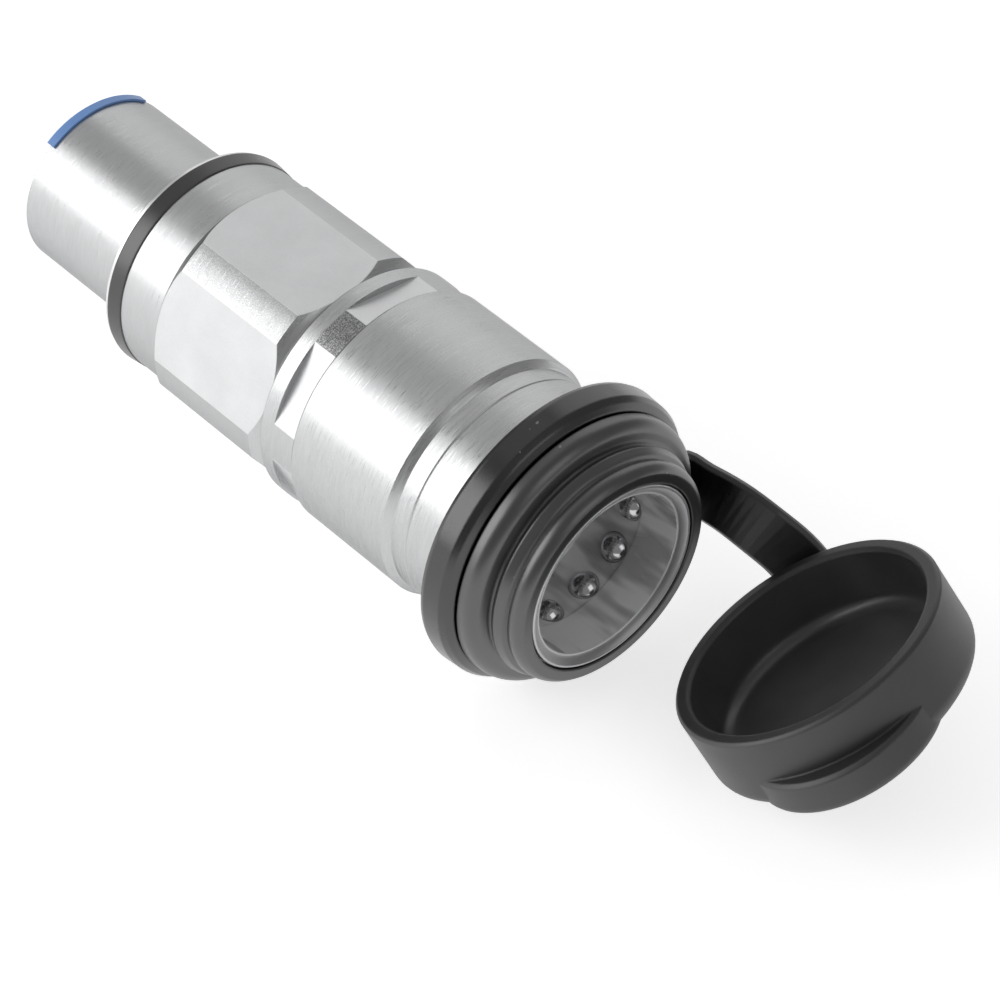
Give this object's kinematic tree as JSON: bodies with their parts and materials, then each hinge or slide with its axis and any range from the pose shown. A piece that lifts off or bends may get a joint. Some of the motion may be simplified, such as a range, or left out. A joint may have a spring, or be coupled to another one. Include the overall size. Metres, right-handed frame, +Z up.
{
  "type": "hydraulic quick coupler",
  "caption": "Female hydraulic quick coupler with ball lock, wrench flats, rubber collars and a tethered rubber dust cap.",
  "frame": {"origin": "centre of the socket mouth, in the plane of the socket's front face", "axes": "+X along the coupler's axis out of the mouth, +Z up with the coupler lying on its side"},
  "size_m": [0.1515, 0.0552, 0.0442],
  "materials": {
    "plated_steel": "zinc plated, fine turned lines",
    "bright_steel": "bright turned or hardened steel",
    "black_rubber": "satin black moulded rubber",
    "ivory_plastic": "unpolished",
    "blue_plastic": "moulded shipping plug"
  },
  "bodies": {
    "sleeve": {"rear_sleeve": "plated_steel", "front_sleeve": "plated_steel", "front_collar": "black_rubber", "wiper_ring": "black_rubber", "backing_washer": "bright_steel", "sleeve_spring": "bright_steel"},
    "socket": {"coupler_body": "plated_steel", "ball_socket": "bright_steel", "stop_ring": "bright_steel", "spring_washer": "bright_steel", "bore_seal": "black_rubber", "seal_backup": "ivory_plastic", "joint_seal": "black_rubber", "poppet_guide": "plated_steel", "poppet_spring": "bright_steel", "port_plug": "blue_plastic"},
    "valve": {"poppet": "bright_steel", "poppet_seal": "black_rubber"},
    "cap": {"dust_cap": "black_rubber"},
    "ball_01": {"lock_ball_01": "bright_steel"},
    "ball_02": {"lock_ball_02": "bright_steel"},
    "ball_03": {"lock_ball_03": "bright_steel"},
    "ball_04": {"lock_ball_04": "bright_steel"},
    "ball_05": {"lock_ball_05": "bright_steel"},
    "ball_06": {"lock_ball_06": "bright_steel"},
    "ball_07": {"lock_ball_07": "bright_steel"},
    "ball_08": {"lock_ball_08": "bright_steel"},
    "ball_09": {"lock_ball_09": "bright_steel"},
    "ball_10": {"lock_ball_10": "bright_steel"},
    "ball_11": {"lock_ball_11": "bright_steel"},
    "ball_12": {"lock_ball_12": "bright_steel"}
  },
  "joints": [
    {"name": "socket_slide", "type": "slide", "parent": "sleeve", "child": "socket", "axis": [-1, 0, 0], "range_m": [0, 0.005], "stiffness_N_per_m": 164, "springref_m": -0.025, "deforming": ["sleeve_spring"]},
    {"name": "valve_slide", "type": "slide", "parent": "socket", "child": "valve", "axis": [-1, 0, 0], "range_m": [0, 0.006], "stiffness_N_per_m": 1450, "springref_m": -0.006, "deforming": ["poppet_spring"]},
    {"name": "cap_swivel", "type": "hinge", "parent": "sleeve", "child": "cap", "pos_m": [-0.0107, 0, 0], "axis": [1, 0, 0], "continuous": true},
    {"name": "ball_01_slide", "type": "slide", "parent": "socket", "child": "ball_01", "axis": [0, 0.9421, 0.3355], "range_m": [0, 0.0011]},
    {"name": "ball_02_slide", "type": "slide", "parent": "socket", "child": "ball_02", "axis": [0, 0.6481, 0.7615], "range_m": [0, 0.0011]},
    {"name": "ball_03_slide", "type": "slide", "parent": "socket", "child": "ball_03", "axis": [0, 0.1805, 0.9836], "range_m": [0, 0.0011]},
    {"name": "ball_04_slide", "type": "slide", "parent": "socket", "child": "ball_04", "axis": [0, -0.3355, 0.9421], "range_m": [0, 0.0011]},
    {"name": "ball_05_slide", "type": "slide", "parent": "socket", "child": "ball_05", "axis": [0, -0.7615, 0.6481], "range_m": [0, 0.0011]},
    {"name": "ball_06_slide", "type": "slide", "parent": "socket", "child": "ball_06", "axis": [0, -0.9836, 0.1805], "range_m": [0, 0.0011]},
    {"name": "ball_07_slide", "type": "slide", "parent": "socket", "child": "ball_07", "axis": [0, -0.9421, -0.3355], "range_m": [0, 0.0011]},
    {"name": "ball_08_slide", "type": "slide", "parent": "socket", "child": "ball_08", "axis": [0, -0.6481, -0.7615], "range_m": [0, 0.0011]},
    {"name": "ball_09_slide", "type": "slide", "parent": "socket", "child": "ball_09", "axis": [0, -0.1805, -0.9836], "range_m": [0, 0.0011]},
    {"name": "ball_10_slide", "type": "slide", "parent": "socket", "child": "ball_10", "axis": [0, 0.3355, -0.9421], "range_m": [0, 0.0011]},
    {"name": "ball_11_slide", "type": "slide", "parent": "socket", "child": "ball_11", "axis": [0, 0.7615, -0.6481], "range_m": [0, 0.0011]},
    {"name": "ball_12_slide", "type": "slide", "parent": "socket", "child": "ball_12", "axis": [0, 0.9836, -0.1805], "range_m": [0, 0.0011]}
  ],
  "couplings": [
    {"joint": "ball_01_slide", "follows": "socket_slide", "ratio": 0.22},
    {"joint": "ball_02_slide", "follows": "socket_slide", "ratio": 0.22},
    {"joint": "ball_03_slide", "follows": "socket_slide", "ratio": 0.22},
    {"joint": "ball_04_slide", "follows": "socket_slide", "ratio": 0.22},
    {"joint": "ball_05_slide", "follows": "socket_slide", "ratio": 0.22},
    {"joint": "ball_06_slide", "follows": "socket_slide", "ratio": 0.22},
    {"joint": "ball_07_slide", "follows": "socket_slide", "ratio": 0.22},
    {"joint": "ball_08_slide", "follows": "socket_slide", "ratio": 0.22},
    {"joint": "ball_09_slide", "follows": "socket_slide", "ratio": 0.22},
    {"joint": "ball_10_slide", "follows": "socket_slide", "ratio": 0.22},
    {"joint": "ball_11_slide", "follows": "socket_slide", "ratio": 0.22},
    {"joint": "ball_12_slide", "follows": "socket_slide", "ratio": 0.22}
  ]
}
